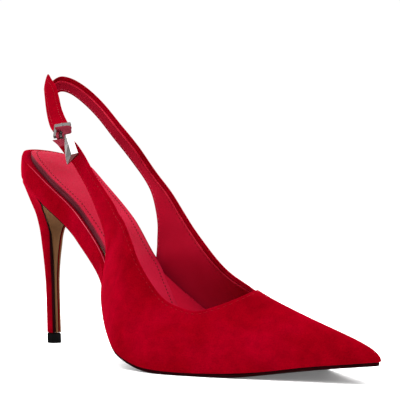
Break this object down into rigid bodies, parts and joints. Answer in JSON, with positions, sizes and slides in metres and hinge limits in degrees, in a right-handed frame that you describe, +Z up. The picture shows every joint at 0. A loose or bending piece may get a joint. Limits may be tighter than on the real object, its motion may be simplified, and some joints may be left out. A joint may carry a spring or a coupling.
{
  "type": "high heel pump",
  "caption": "Pointed-toe slingback pump on a slim high heel, with an open back, a heel strap, a buckle and a faceted metal strap tip.",
  "frame": {"origin": "middle of the base of the bounding box, on the floor the shoe stands on", "axes": "+X towards the toe, +Z up, -Y is the outer (lateral) side of this right shoe"},
  "size_m": [0.2258, 0.0762, 0.1392],
  "materials": {
    "sole_leather": "waxed sole leather",
    "leatherboard": "pressed leatherboard",
    "steel": "plain steel",
    "cork": "cork sheet",
    "suede": "matt dyed suede",
    "padding": "foam padding with a leather edge",
    "sock": "smooth dyed sock leather",
    "lining": "smooth dyed lining leather",
    "heel_plastic": "moulded ABS",
    "top_lift": "hard polyurethane",
    "bright_metal": "polished plating"
  },
  "bodies": {
    "shoe": {"outsole": "sole_leather", "insole_board": "leatherboard", "steel_shank": "steel", "shank_board": "leatherboard", "forepart_filler": "cork", "insole_wrap": "suede", "sock_padding": "padding", "sock_lining": "sock", "forepart_sock": "lining", "vamp_and_quarters": "suede", "upper_lining": "lining", "toe_puff": "leatherboard", "heel_block": "heel_plastic", "heel_dowel": "steel", "heel_cover": "suede", "heel_breast_flap": "sole_leather", "top_lift": "top_lift", "top_lift_pin": "steel", "heel_screw": "steel", "heel_nail_1": "steel", "heel_nail_2": "steel", "heel_nail_3": "steel", "heel_nail_4": "steel", "shank_rivet_1": "steel", "shank_rivet_2": "steel"},
    "strap": {"sling_strap": "suede", "sling_strap_lining": "lining", "buckle_strap": "suede", "buckle_strap_lining": "lining", "buckle_loop_outer": "suede", "buckle_loop_inner": "suede", "strap_tail": "suede"},
    "buckle": {"buckle_frame": "bright_metal"},
    "prong": {"buckle_prong": "bright_metal"},
    "tip": {"strap_tip": "bright_metal"}
  },
  "joints": [
    {"name": "strap_swing", "type": "hinge", "parent": "shoe", "child": "strap", "pos_m": [-0.0327, -0.01807, 0.0781], "axis": [-0.0937, 0.989, 0.1145], "range_deg": [-20, 30]},
    {"name": "buckle_tilt", "type": "hinge", "parent": "strap", "child": "buckle", "pos_m": [-0.04956, -0.02248, 0.10053], "axis": [0.6991, 0.6991, 0.1498], "range_deg": [0, 8]},
    {"name": "prong_lift", "type": "hinge", "parent": "buckle", "child": "prong", "pos_m": [-0.04956, -0.02248, 0.10053], "axis": [0.6991, 0.6991, 0.1498], "range_deg": [0, 15]},
    {"name": "tip_lift", "type": "hinge", "parent": "strap", "child": "tip", "pos_m": [-0.04469, -0.02338, 0.10193], "axis": [-0.5441, -0.7871, -0.2906], "range_deg": [0, 25]}
  ]
}
